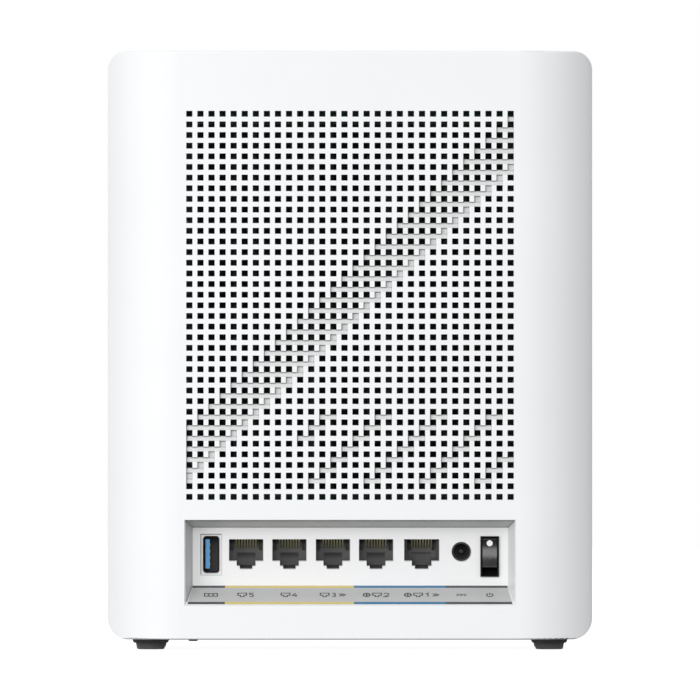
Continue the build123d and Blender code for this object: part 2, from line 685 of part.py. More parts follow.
def usb_shell():
    shell = usb_outline(0, USB_FRONT, USB_BACK)
    shell -= usb_outline(-USB_SHEET, USB_FRONT - OVERCUT, USB_BACK + OVERCUT)
    for side in (-1, 1):
        outer = USB_X + side * USB_WIDTH / 2
        inner = outer - side * USB_SHEET
        shell += block(min(outer, inner), max(outer, inner), *USB_LEG_Y,
                       PORT_BOARD_TOP, USB_Z - USB_HEIGHT / 2 + 2 * USB_CORNER)
    return shell


def usb_tongue():
    """Insulator across the shell's rear end, with the tongue that carries the contacts."""
    plug = usb_outline(-USB_SHEET, USB_BACK - USB_PLUG_BACK, USB_BACK)
    tongue_bar = block(*USB_TONGUE_X, USB_TONGUE_FRONT, USB_BACK - USB_PLUG_BACK, *USB_TONGUE_Z)
    return plug + tongue_bar


def usb_contacts():
    x = USB_TONGUE_X[1]
    strips = []
    for number in range(USB_CONTACTS):
        z = USB_Z + (number - (USB_CONTACTS - 1) / 2) * USB_CONTACT_PITCH
        strips.append(block(x, x + USB_CONTACT_THICKNESS, USB_TONGUE_FRONT + USB_CONTACT_INSET,
                            USB_BACK - USB_PLUG_BACK,
                            z - USB_CONTACT_HALF_WIDTH, z + USB_CONTACT_HALF_WIDTH))
    return strips


def dc_jack():
    body = block(DC_X - DC_BODY_HALF_WIDTH, DC_X + DC_BODY_HALF_WIDTH, PANEL_BACK,
                 PANEL_BACK + DC_BODY_LENGTH, PORT_BOARD_TOP, DC_BODY_TOP)
    body += level_rod(DC_X, DC_Z, DC_RADIUS, PANEL, PANEL_BACK + OVERLAP)
    return body - level_rod(DC_X, DC_Z, DC_BORE, PANEL - OVERCUT, PANEL + DC_BORE_DEPTH)


def dc_pin():
    bore_end = PANEL + DC_BORE_DEPTH
    pin = level_rod(DC_X, DC_Z, DC_PIN_RADIUS, bore_end - DC_PIN_LENGTH, bore_end)
    return fillet(pin.edges().group_by(Axis.Y)[0], DC_PIN_TIP)


def switch_prism(width, height, y0, y1):
    """Box centred on the power switch."""
    return block(SWITCH_X - width / 2, SWITCH_X + width / 2, y0, y1,
                 SWITCH_Z - height / 2, SWITCH_Z + height / 2)


def power_switch_frame():
    body = block(SWITCH_X - SWITCH_BODY_HALF_WIDTH, SWITCH_X + SWITCH_BODY_HALF_WIDTH,
                 PANEL_BACK, SWITCH_BODY_BACK, PORT_BOARD_TOP, SWITCH_BODY_TOP)
    body += switch_prism(SWITCH_WIDTH, SWITCH_HEIGHT, PANEL - SWITCH_PROUD, PANEL_BACK + OVERLAP)
    body -= switch_prism(SWITCH_WELL_WIDTH, SWITCH_WELL_HEIGHT, PANEL - SWITCH_PROUD - OVERCUT,
                         SWITCH_WELL_BACK)
    bearing = TRUNNION_RADIUS + TRUNNION_GAP
    reach = ROCKER_WIDTH / 2 + TRUNNION_LENGTH + TRUNNION_GAP
    return body - rocker_pivot() * Rot(0, 90, 0) * Cylinder(bearing, 2 * reach)


def rocker_pivot():
    return Pos(SWITCH_X, ROCKER_PIVOT_Y, ROCKER_PIVOT_Z)


def power_rocker():
    """Rocker with a hollow face, tipped so that its lower end stands out."""
    end_y = -ROCKER_REACH - ROCKER_HOLLOW
    face_top = (end_y, ROCKER_HALF_HEIGHT)
    face_bottom = (end_y, -ROCKER_HALF_HEIGHT)
    face = ThreePointArc(face_top, (-ROCKER_REACH, 0), face_bottom)
    back = Polyline(face_bottom, (ROCKER_BACK, -ROCKER_BACK_HALF_HEIGHT),
                    (ROCKER_BACK, ROCKER_BACK_HALF_HEIGHT), face_top)
    outline = Plane.YZ.offset(-ROCKER_WIDTH / 2) * make_face([face, back])
    rocker = extrude(outline, amount=ROCKER_WIDTH)
    ends = [edge for edge in rocker.edges().filter_by(Axis.X) if edge.center().Y < -ROCKER_REACH]
    rocker = fillet(ends, ROCKER_EDGE)
    rocker += Rot(0, 90, 0) * Cylinder(TRUNNION_RADIUS, ROCKER_WIDTH + 2 * TRUNNION_LENGTH)
    return rocker_pivot() * Rot(-ROCKER_TILT, 0, 0) * rocker


def port_board():
    half = PORT_BOARD_HALF_WIDTH
    return block(-half, half, PANEL_BACK + PORT_BOARD_GAP, PORT_BOARD_BACK,
                 PORT_BOARD_TOP - BOARD_THICKNESS, PORT_BOARD_TOP)


# ---- upright stack -------------------------------------------------------------------------
def main_screw_places():
    return [(x, z) for x in (-MAIN_SCREW_X, MAIN_SCREW_X) for z in MAIN_SCREW_Z]


def main_board():
    board = block(-MAIN_BOARD_HALF_WIDTH, MAIN_BOARD_HALF_WIDTH, MAIN_BOARD_REAR, MAIN_BOARD_FRONT,
                  *MAIN_BOARD_Z)
    radius = MAIN_SCREW_RADIUS + HOLE_GAP
    return board - [level_rod(x, z, radius, MAIN_BOARD_REAR - OVERCUT, MAIN_BOARD_FRONT + OVERCUT)
                    for x, z in main_screw_places()]


def inner_frame():
    """Moulded frame that stands on the base plate and carries the main board and antennas."""
    frame = block(-FRAME_HALF_WIDTH, FRAME_HALF_WIDTH, MAIN_BOARD_FRONT, FRAME_FRONT,
                  FRAME_RAIL_BOTTOM, FRAME_TOP)
    frame -= block(-FRAME_HOLE_HALF_WIDTH, FRAME_HOLE_HALF_WIDTH, MAIN_BOARD_FRONT - OVERCUT,
                   FRAME_FRONT + OVERCUT, *FRAME_HOLE_Z)
    for side in (-1, 1):
        inner = side * FRAME_LEG_INSIDE
        outer = side * FRAME_HALF_WIDTH
        frame += block(min(inner, outer), max(inner, outer), MAIN_BOARD_FRONT, FRAME_FRONT,
                       PLATE_TOP, FRAME_RAIL_BOTTOM)
    radius = MAIN_SCREW_RADIUS + HOLE_GAP
    return frame - [level_rod(x, z, radius, MAIN_BOARD_REAR, MAIN_SCREW_TIP + OVERCUT)
                    for x, z in main_screw_places()]


def main_screw(x, z):
    head = level_rod(x, z, MAIN_SCREW_HEAD, MAIN_BOARD_REAR - MAIN_SCREW_HEAD_HEIGHT, MAIN_BOARD_REAR)
    return head + level_rod(x, z, MAIN_SCREW_RADIUS, MAIN_BOARD_REAR, MAIN_SCREW_TIP)


def shield_can(x, z, width, height):
    """Drawn sheet-metal cover over the radio chips, rounded at its rear edges."""
    rear = MAIN_BOARD_REAR - CAN_HEIGHT
    can = block(x - width / 2, x + width / 2, rear, MAIN_BOARD_REAR, z - height / 2, z + height / 2)
    can = fillet(can.edges().group_by(Axis.Y)[0], CAN_EDGE)
    half_width = width / 2 - CAN_SHEET
    half_height = height / 2 - CAN_SHEET
    return can - block(x - half_width, x + half_width, rear + CAN_SHEET, MAIN_BOARD_REAR + OVERCUT,
                       z - half_height, z + half_height)


def rear_pads():
    """A thermal pad between each shield can and the rear heat sink."""
    rear = MAIN_BOARD_REAR - CAN_HEIGHT
    pads = []
    for x, z, width, height in CANS:
        half_width = width / 2 - PAD_MARGIN
        half_height = height / 2 - PAD_MARGIN
        pads.append(block(x - half_width, x + half_width, rear - PAD_THICKNESS, rear,
                          z - half_height, z + half_height))
    return pads


def finned_sink(base_y, tip_y, base_thickness, z0, z1, fin_count, post_end_y):
    """Heat sink with upright fins.  The fins point from base_y towards tip_y."""
    way = math.copysign(1, tip_y - base_y)
    fin_root = base_y + way * base_thickness
    sink = block(-SINK_HALF_WIDTH, SINK_HALF_WIDTH, min(base_y, fin_root), max(base_y, fin_root), z0, z1)
    pitch = (2 * SINK_HALF_WIDTH - FIN_THICKNESS) / (fin_count - 1)
    fins = []
    for number in range(fin_count):
        x = -SINK_HALF_WIDTH + FIN_THICKNESS / 2 + number * pitch
        fins.append(block(x - FIN_THICKNESS / 2, x + FIN_THICKNESS / 2, min(fin_root, tip_y),
                          max(fin_root, tip_y), z0, z1))
    posts = []
    for x in (-SINK_HALF_WIDTH + SINK_POST_INSET, SINK_HALF_WIDTH - SINK_POST_INSET):
        for z in (z0 + SINK_POST_INSET, z1 - SINK_POST_INSET):
            posts.append(level_rod(x, z, SINK_POST_RADIUS, min(base_y, post_end_y),
                                   max(base_y, post_end_y)))
    return sink + fins + posts


def rear_heatsink():
    base_y = MAIN_BOARD_REAR - CAN_HEIGHT - PAD_THICKNESS
    return finned_sink(base_y, REAR_FIN_TIP, REAR_SINK_BASE, *REAR_SINK_Z, REAR_FIN_COUNT,
                       MAIN_BOARD_REAR)


def front_heatsink():
    base_y = MAIN_BOARD_FRONT + FRONT_SINK_GAP
    return finned_sink(base_y, FRONT_FIN_TIP, FRONT_SINK_BASE, *FRONT_SINK_Z, FRONT_FIN_COUNT,
                       MAIN_BOARD_FRONT)


def front_pads():
    """Thermal pads straight on the front of the main board, behind the cans."""
    half = FRONT_PAD_HALF
    return [block(x - half, x + half, MAIN_BOARD_FRONT, MAIN_BOARD_FRONT + FRONT_SINK_GAP,
                  z - half, z + half) for x, z, _, _ in CANS]


# ---- antennas ------------------------------------------------------------------------------
def side_antenna(side, z):
    inner = side * FRAME_HALF_WIDTH
    outer = inner + side * ANTENNA_THICKNESS
    return block(min(inner, outer), max(inner, outer), *ANTENNA_Y,
                 z - SIDE_ANTENNA_LENGTH / 2, z + SIDE_ANTENNA_LENGTH / 2)


def top_antenna(x):
    return block(x - TOP_ANTENNA_LENGTH / 2, x + TOP_ANTENNA_LENGTH / 2, *ANTENNA_Y,
                 FRAME_TOP, FRAME_TOP + ANTENNA_THICKNESS)


def side_lead(side, z):
    """Coaxial lead from a side antenna round the frame to the main board."""
    outside = side * (FRAME_HALF_WIDTH + ANTENNA_THICKNESS + LEAD_RADIUS)
    end = side * (SIDE_PLUG_X + PLUG_SIZE / 2)
    return tube([(outside, LEAD_START_Y, z), (outside, LEAD_Y, z), (end, LEAD_Y, z)],
                LEAD_RADIUS, LEAD_BEND)


def top_lead(x):
    """Coaxial lead from a top antenna over the frame to the main board."""
    above = FRAME_TOP + ANTENNA_THICKNESS + LEAD_RADIUS
    end = TOP_PLUG_Z + PLUG_SIZE / 2
    return tube([(x, LEAD_START_Y, above), (x, LEAD_Y, above), (x, LEAD_Y, end)],
                LEAD_RADIUS, LEAD_BEND)


def coax_plug(x, z):
    half = PLUG_SIZE / 2
    return block(x - half, x + half, LEAD_Y - LEAD_RADIUS, MAIN_BOARD_REAR, z - half, z + half)


# ---- link between the boards ---------------------------------------------------------------
def link_headers():
    lower = block(-LINK_HALF_WIDTH, LINK_HALF_WIDTH, LINK_Y - HEADER_THICKNESS / 2,
                  LINK_Y + HEADER_THICKNESS / 2, PORT_BOARD_TOP, PORT_BOARD_TOP + HEADER_HEIGHT)
    upper = block(-LINK_HALF_WIDTH, LINK_HALF_WIDTH, MAIN_BOARD_FRONT, MAIN_BOARD_FRONT + HEADER_HEIGHT,
                  LINK_Z - HEADER_THICKNESS / 2, LINK_Z + HEADER_THICKNESS / 2)
    return lower, upper


def link_ribbon():
    """Flat ribbon that rises from the port board and turns back to the main board."""
    start = (0, LINK_Y, PORT_BOARD_TOP + HEADER_HEIGHT)
    end = (0, MAIN_BOARD_FRONT + HEADER_HEIGHT, LINK_Z)
    path = FilletPolyline(start, (0, LINK_Y, LINK_Z), end, radius=LINK_BEND)
    ribbon_width = 2 * (LINK_HALF_WIDTH - RIBBON_MARGIN)
    section = Plane(origin=start, z_dir=(0, 0, 1)) * Rectangle(ribbon_width, RIBBON_THICKNESS)
    return sweep(section, path=path)


# ---- buttons -------------------------------------------------------------------------------
def button(x, radius, bottom, edge):
    """Push button that passes up through the base plate, with a collar that keeps it in."""
    stem = upright_rod(x, BUTTON_Y, radius, bottom, BUTTON_TOP)
    stem = fillet(stem.edges().group_by(Axis.Z)[0], edge)
    return stem + upright_rod(x, BUTTON_Y, COLLAR_RADIUS, COLLAR_BOTTOM, COLLAR_BOTTOM + COLLAR_THICKNESS)


def tact_switch(x):
    half = SWITCH_BLOCK / 2
    body = block(x - half, x + half, BUTTON_Y - half, BUTTON_Y + half,
                 SWITCH_BLOCK_BOTTOM + PLUNGER_PROUD, BUTTON_BOARD_BOTTOM)
    return body + upright_rod(x, BUTTON_Y, PLUNGER_RADIUS, SWITCH_BLOCK_BOTTOM, BUTTON_BOARD_BOTTOM)


def button_board():
    return block(*BUTTON_BOARD_X, *BUTTON_BOARD_Y, BUTTON_BOARD_BOTTOM,
                 BUTTON_BOARD_BOTTOM + BUTTON_BOARD_THICKNESS)


# ---- status light --------------------------------------------------------------------------
def status_lens():
    half_width = LIGHT_HALF_WIDTH - LIGHT_GAP
    half_height = LIGHT_HEIGHT / 2 - LIGHT_GAP
    window = block(-half_width, half_width, FRONT_INSIDE, FRONT, LIGHT_Z - half_height,
                   LIGHT_Z + half_height)
    return window + block(-half_width - LENS_FLANGE, half_width + LENS_FLANGE,
                          FRONT_INSIDE - LENS_FLANGE_THICKNESS, FRONT_INSIDE,
                          LIGHT_Z - half_height - LENS_FLANGE, LIGHT_Z + half_height + LENS_FLANGE)


def status_board():
    return block(-LIGHT_BOARD_HALF_WIDTH, LIGHT_BOARD_HALF_WIDTH, *LIGHT_BOARD_Y,
                 LIGHT_Z - LIGHT_BOARD_HEIGHT / 2, LIGHT_Z + LIGHT_BOARD_HEIGHT / 2)


# ---- nodes ---------------------------------------------------------------------------------
def main():
    os.makedirs("parts", exist_ok=True)
    save("rear_cover", rear_cover())
    save("front_cover", front_cover())
    save("base_plate", base_plate())
    save("base_screws", *[base_screw(x, y) for x, y in screw_places()])
    for x, y in foot_places():
        end = "rear" if y < 0 else "front"
        hand = "left" if x < 0 else "right"
        save(f"foot_{end}_{hand}", foot(x, y))
    save("rear_grille", rear_grille())
    save("port_bay", port_bay())
    save("port_label", port_label())

    save("port_board", port_board())
    for index in range(len(JACK_X)):
        save(f"network_jack_{index + 1}", network_jack(index))
        save(f"network_contacts_{index + 1}", *network_contacts(index))
    save("usb_shell", usb_shell())
    save("usb_tongue", usb_tongue())
    save("usb_contacts", *usb_contacts())
    save("dc_jack", dc_jack())
    save("dc_pin", dc_pin())
    save("power_switch_frame", power_switch_frame())
    save("power_rocker", power_rocker())

    save("main_board", main_board())
    save("main_board_screws", *[main_screw(x, z) for x, z in main_screw_places()])
    save("inner_frame", inner_frame())
    for number, can in enumerate(CANS, start=1):
        save(f"shield_can_{number}", shield_can(*can))
    save("rear_thermal_pads", *rear_pads())
    save("rear_heatsink", rear_heatsink())
    save("front_thermal_pads", *front_pads())
    save("front_heatsink", front_heatsink())

    side_places = [(side, z) for side in (-1, 1) for z in SIDE_ANTENNA_Z]
    for number, (side, z) in enumerate(side_places, start=1):
        save(f"side_antenna_{number}", side_antenna(side, z))
    for number, x in enumerate(TOP_ANTENNA_X, start=1):
        save(f"top_antenna_{number}", top_antenna(x))
    save("antenna_leads", *[side_lead(*place) for place in side_places],
         *[top_lead(x) for x in TOP_ANTENNA_X])
    save("coax_plugs", *[coax_plug(side * SIDE_PLUG_X, z) for side, z in side_places],
         *[coax_plug(x, TOP_PLUG_Z) for x in TOP_ANTENNA_X])
    save("link_headers", *link_headers())
    save("link_ribbon", link_ribbon())

    save("wps_button", button(WPS_X, WPS_RADIUS, WPS_BOTTOM, WPS_EDGE))
    save("reset_button", button(RESET_X, RESET_RADIUS, RESET_BOTTOM, RESET_EDGE))
    save("wps_switch", tact_switch(WPS_X))
    save("reset_switch", tact_switch(RESET_X))
    save("button_board", button_board())
    save("status_lens", status_lens())
    save("status_board", status_board())


main()
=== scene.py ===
import json
import math

import bmesh
import bpy
from mathutils import Matrix, Vector


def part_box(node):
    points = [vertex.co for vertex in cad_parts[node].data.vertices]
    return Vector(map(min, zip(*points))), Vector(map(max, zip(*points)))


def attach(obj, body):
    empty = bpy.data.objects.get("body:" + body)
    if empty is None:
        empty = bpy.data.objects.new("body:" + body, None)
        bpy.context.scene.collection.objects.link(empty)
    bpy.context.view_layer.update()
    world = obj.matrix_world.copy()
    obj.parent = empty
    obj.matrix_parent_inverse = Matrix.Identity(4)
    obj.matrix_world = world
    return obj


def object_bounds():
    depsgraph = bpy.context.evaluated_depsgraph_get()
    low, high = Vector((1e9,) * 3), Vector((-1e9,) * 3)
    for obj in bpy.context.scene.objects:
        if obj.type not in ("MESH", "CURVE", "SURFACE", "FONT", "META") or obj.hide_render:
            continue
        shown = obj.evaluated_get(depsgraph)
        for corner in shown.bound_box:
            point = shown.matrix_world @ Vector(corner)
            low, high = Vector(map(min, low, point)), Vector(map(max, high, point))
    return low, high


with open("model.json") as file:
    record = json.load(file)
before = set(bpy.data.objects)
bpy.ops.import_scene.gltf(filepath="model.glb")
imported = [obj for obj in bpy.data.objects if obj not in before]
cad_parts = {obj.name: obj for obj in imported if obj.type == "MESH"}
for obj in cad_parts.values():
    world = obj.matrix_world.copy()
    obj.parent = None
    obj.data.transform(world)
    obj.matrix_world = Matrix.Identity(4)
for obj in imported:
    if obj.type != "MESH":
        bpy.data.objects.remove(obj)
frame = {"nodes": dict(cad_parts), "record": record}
CAD_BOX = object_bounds()
NODES = frame["nodes"]

MM = 0.001

# ---- where things are, in metres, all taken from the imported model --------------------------
REAR_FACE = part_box("rear_cover")[0].y
CASE_MIDDLE_Z = (CAD_BOX[0].z + CAD_BOX[1].z) / 2


def centre_x(node):
    low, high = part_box(node)
    return (low.x + high.x) / 2


# ---- camera --------------------------------------------------------------------------------
LENS_MM = 850.0
SENSOR_MM = 36.0
VIEW_WIDTH = 252.7 * MM         # width of the picture at the rear face
CAMERA_LIFT = 0.2 * MM          # above the middle of the case
NEAR_LIMIT = 0.1
FAR_LIMIT = 20.0


def make_camera():
    """Level camera behind the router, far away with a long lens."""
    data = bpy.data.cameras.new("studio_camera")
    data.lens = LENS_MM
    data.sensor_width = SENSOR_MM
    camera = bpy.data.objects.new("studio_camera", data)
    bpy.context.scene.collection.objects.link(camera)
    distance = VIEW_WIDTH * LENS_MM / SENSOR_MM
    camera.location = (0, REAR_FACE - distance, CASE_MIDDLE_Z + CAMERA_LIFT)
    camera.rotation_euler = (math.radians(90), 0, 0)
    data.clip_start = NEAR_LIMIT
    data.clip_end = FAR_LIMIT
    bpy.context.scene.camera = camera


make_camera()


# ---- small node-graph helpers --------------------------------------------------------------
class Graph:
    """A material's node tree with short calls for the nodes that the finishes use."""

    def __init__(self, name, color, roughness, metallic=0.0, specular=0.5):
        self.material = bpy.data.materials.new(name)
        self.material.use_nodes = True
        self.tree = self.material.node_tree
        self.shader = self.tree.nodes["Principled BSDF"]
        self.shader.inputs["Base Color"].default_value = (*color, 1)
        self.shader.inputs["Roughness"].default_value = roughness
        self.shader.inputs["Metallic"].default_value = metallic
        self.shader.inputs["Specular IOR Level"].default_value = specular
        self.place = self.node("ShaderNodeTexCoord").outputs["Object"]

    def node(self, kind, **settings):
        made = self.tree.nodes.new(kind)
        for key, value in settings.items():
            setattr(made, key, value)
        return made

    def link(self, source, target):
        self.tree.links.new(source, target)

    def noise(self, scale, detail=2.0, stretch=(1, 1, 1)):
        """Noise with features about 1/scale metres wide, stretched along the axes."""
        mapping = self.node("ShaderNodeMapping")
        mapping.inputs["Scale"].default_value = stretch
        self.link(self.place, mapping.inputs["Vector"])
        texture = self.node("ShaderNodeTexNoise")
        texture.inputs["Scale"].default_value = scale
        texture.inputs["Detail"].default_value = detail
        self.link(mapping.outputs["Vector"], texture.inputs["Vector"])
        return texture.outputs["Fac"]

    def math(self, operation, first, second=0.0):
        """Arithmetic on numbers or on the outputs of other nodes."""
        made = self.node("ShaderNodeMath", operation=operation)
        for socket, value in zip(made.inputs, (first, second)):
            if isinstance(value, (int, float)):
                socket.default_value = value
            else:
                self.link(value, socket)
        return made.outputs[0]

    def ramp(self, value, low, high, out_low=0.0, out_high=1.0):
        """Runs from out_low at low to out_high at high, and is level beyond."""
        made = self.node("ShaderNodeMapRange")
        made.inputs["From Min"].default_value = low
        made.inputs["From Max"].default_value = high
        made.inputs["To Min"].default_value = out_low
        made.inputs["To Max"].default_value = out_high
        self.link(value, made.inputs["Value"])
        return made.outputs["Result"]

    def mix(self, factor, first, second):
        """First colour where the factor is 0 and second where it is 1."""
        made = self.node("ShaderNodeMix", data_type="RGBA")
        self.link(factor, made.inputs["Factor"])
        for socket, value in ((made.inputs["A"], first), (made.inputs["B"], second)):
            if isinstance(value, tuple):
                socket.default_value = (*value, 1)
            else:
                self.link(value, socket)
        return made.outputs["Result"]

    def axis(self, letter):
        """One object-space coordinate, in metres."""
        split = self.node("ShaderNodeSeparateXYZ")
        self.link(self.place, split.inputs["Vector"])
        return split.outputs[letter]

    def facing(self, letter):
        """One component of the surface's normal."""
        split = self.node("ShaderNodeSeparateXYZ")
        self.link(self.node("ShaderNodeNewGeometry").outputs["True Normal"], split.inputs["Vector"])
        return split.outputs[letter]

    def openness(self, way, reach):
        """Near 0 right beside a wall that stands on the side of way, 1 in the open."""
        aim = self.node("ShaderNodeCombineXYZ")
        for letter, value in zip("XYZ", way):
            aim.inputs[letter].default_value = value
        seen = self.node("ShaderNodeAmbientOcclusion", samples=16, only_local=True)
        seen.inputs["Distance"].default_value = reach
        self.link(aim.outputs["Vector"], seen.inputs["Normal"])
        return seen.outputs["AO"]

    def color(self):
        """What drives the base colour so far."""
        return self.shader.inputs["Base Color"].links[0].from_socket

    def color_from(self, value):
        self.link(value, self.shader.inputs["Base Color"])

    def roughness_from(self, value):
        self.link(value, self.shader.inputs["Roughness"])

    def bump(self, height, distance):
        """Fine relief; distance is the height of the relief in metres."""
        made = self.node("ShaderNodeBump")
        made.inputs["Distance"].default_value = distance
        made.inputs["Strength"].default_value = 1.0
        self.link(height, made.inputs["Height"])
        self.link(made.outputs["Normal"], self.shader.inputs["Normal"])


def tinted(color, share):
    """Lighter or darker form of a colour."""
    return tuple(min(1.0, channel * share) for channel in color)


# ---- finishes ------------------------------------------------------------------------------
CASE_WHITE = (0.905, 0.915, 0.925)
SHARP = 0.1 * MM                # width of the step between two colours

PANEL_BAND = 2.0 * MM           # from the sockets' housings to just in front of the port panel
# painted shade on the bay's walls: darkest on the ceiling, dark on the left wall, light on the right wall
# that faces the light
BAY_WALL_GREY = (0.54, 0.55, 0.54)
BAY_LEFT_GREY = (0.60, 0.61, 0.60)
BAY_RIGHT_GREY = (0.80, 0.81, 0.805)

# painted shade on the floors of the grille's sunk stripe
RELIEF_SHADE_GREY = (0.72, 0.725, 0.725)
# painted shadow: dark grey laid along the upper and left walls of hollows
EDGE_SHADOW_GREY = (0.20, 0.205, 0.205)
RELIEF_REACH = 0.55 * MM        # how far the painted shadow spreads from a wall of the sunk stripe
BAY_REACH = 0.5 * MM            # how far the painted shadow spreads from an edge in the bay
STEP_FLOOR = 1.0 * MM           # a little less than the depth of the sunk stripe
UPPER_LEFT = (-0.45, -0.55, 0.70)       # side of a hollow on which the painted shadow lies

# painted shade on the covers' downward-facing rim
RIM_SHADE_GREY = (0.38, 0.38, 0.38)
FOOT_CLEAN = 3.4 * MM           # height above the floor where a foot's dust ends
LABEL_PALE_BAND = 4.0 * MM           # height over which the label is a little paler at its lower edge

# jack colours: the housing's grey, then painted shade below the wires, in the latch's space, under the
# roof and in a band above the latch's space
JACK_GREY = (0.21, 0.21, 0.206)
JACK_MIDDLE_SHADE = (0.155, 0.155, 0.152)
LATCH_SHADE_GREY = (0.105, 0.105, 0.103)
ROOF_SHADE_GREY = (0.06, 0.06, 0.06)
SHADOW_BAND_GREY = (0.045, 0.045, 0.045)
LATCH_SPACE = 5.0 * MM          # height of a jack's opening below its wires
MIDDLE_FADE = 1.0 * MM          # height over which the middle grey turns into the housing's
ROOF_SHADE = 2.2 * MM           # depth of the painted shade under a jack's roof
SHADOW_BAND_HALF = 3.1 * MM          # half length of the painted shadow band above the latch's space
SHADOW_BAND_END = 0.3 * MM           # length over which the painted shadow band ends at each side
SHADOW_BAND_DROP = 2.0 * MM          # from the wires' lowest point down to the painted shadow band
SHADOW_BAND_EDGE = 0.2 * MM          # height of the painted shadow band's soft upper edge
SHADOW_BAND_DEEP = 0.7 * MM          # from the band's upper edge down to where it starts to fade
SHADOW_BAND_FADE = 2.4 * MM          # from the band's upper edge down to where it ends
SHIELD_DEPTH = 1.2 * MM         # of the shield at the mouth of the fifth jack
SHIELD_FADE = 0.5 * MM


def moulded(name, color, roughness=0.45, grain=2500.0, depth=0.01 * MM, specular=0.5):
    """Graph of a moulded plastic: a fine spark-eroded grain and faint flow clouds."""
    g = Graph(name, color, roughness, specular=specular)
    clouds = g.noise(14.0, 3.0)
    g.color_from(g.mix(g.ramp(clouds, 0.3, 0.7), tinted(color, 0.985), tinted(color, 1.01)))
    fine = g.noise(grain, 3.0)
    g.roughness_from(g.ramp(fine, 0.3, 0.7, roughness - 0.04, roughness + 0.05))
    g.bump(fine, depth)
    return g


def painted_shadow(graph, reach):
    """Painted shadow: 0 beside a wall on the upper left, where the shade falls, 1 in the open."""
    return graph.ramp(graph.openness(UPPER_LEFT, reach), 0.55, 0.95)


def cover_white():
    """Case plastic with painted shade: a greyer rim where the covers turn in under the case."""
    g = moulded("cover_white", CASE_WHITE, 0.5)
    g.color_from(g.mix(g.ramp(g.facing("Z"), -0.75, -0.15), RIM_SHADE_GREY, g.color()))
    return g.material


def grille_white():
    """Case plastic with painted shade: greyer on the floors of the sunk stripe, with painted shadow along
    their upper edges.
    """
    g = moulded("grille_white", CASE_WHITE, 0.5)
    floor = g.ramp(g.axis("Y"), REAR_FACE + STEP_FLOOR, REAR_FACE + STEP_FLOOR + SHARP)
    g.color_from(g.mix(floor, g.color(), g.mix(painted_shadow(g, RELIEF_REACH), EDGE_SHADOW_GREY, RELIEF_SHADE_GREY)))
    return g.material


def bay_white():
    """Tray plastic: white and smooth on the panel and the sill, with painted shade on the flared walls and
    painted shadow along edges.
    """
    g = moulded("bay_white", (0.885, 0.885, 0.89), 0.4, grain=3500.0, depth=0.006 * MM)
    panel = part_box("network_jack_1")[0].y - PANEL_BAND
    wall = g.ramp(g.axis("Y"), panel, panel + SHARP, 1.0, 0.0)
    wall = g.math("MULTIPLY", wall, g.ramp(g.facing("Z"), 0.5, 0.7, 1.0, 0.0))
    across = g.facing("X")
    # painted shade and painted light on the walls, chosen by the way each wall faces
    grey = g.mix(g.ramp(across, -0.8, -0.3), BAY_RIGHT_GREY, BAY_WALL_GREY)
    grey = g.mix(g.ramp(across, 0.3, 0.8), grey, BAY_LEFT_GREY)
    g.color_from(g.mix(painted_shadow(g, BAY_REACH), EDGE_SHADOW_GREY, g.mix(wall, g.color(), grey)))
    return g.material


def label_grey():
    """Printed sheet with faint level fibres, a little paler at its lower edge."""
    g = Graph("label_grey", (0.52, 0.525, 0.525), 0.5)
    fibre = g.noise(900.0, 3.0, stretch=(1, 3, 3))
    paper = g.mix(g.ramp(fibre, 0.35, 0.65), (0.50, 0.505, 0.505), (0.54, 0.545, 0.545))
    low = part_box("port_label")[0].z
    g.color_from(g.mix(g.ramp(g.axis("Z"), low, low + LABEL_PALE_BAND), (0.575, 0.575, 0.565), paper))
    g.bump(fibre, 0.004 * MM)
    return g.material


def rubber():
    """Matt rubber, paler and dustier near the floor."""
    g = Graph("foot_rubber", (0.06, 0.06, 0.062), 0.75, specular=0.4)
    speck = g.noise(1800.0, 4.0)
    clean = g.mix(g.ramp(speck, 0.4, 0.7), (0.038, 0.038, 0.040), (0.058, 0.058, 0.061))
    dusty = g.mix(g.ramp(speck, 0.4, 0.7), (0.10, 0.10, 0.102), (0.14, 0.14, 0.142))
    g.color_from(g.mix(g.ramp(g.axis("Z"), 0.0, FOOT_CLEAN), dusty, clean))
    g.bump(speck, 0.03 * MM)
    return g.material


def dark_plastic(name, color, roughness=0.55):
    return moulded(name, color, roughness, grain=3000.0, depth=0.012 * MM).material


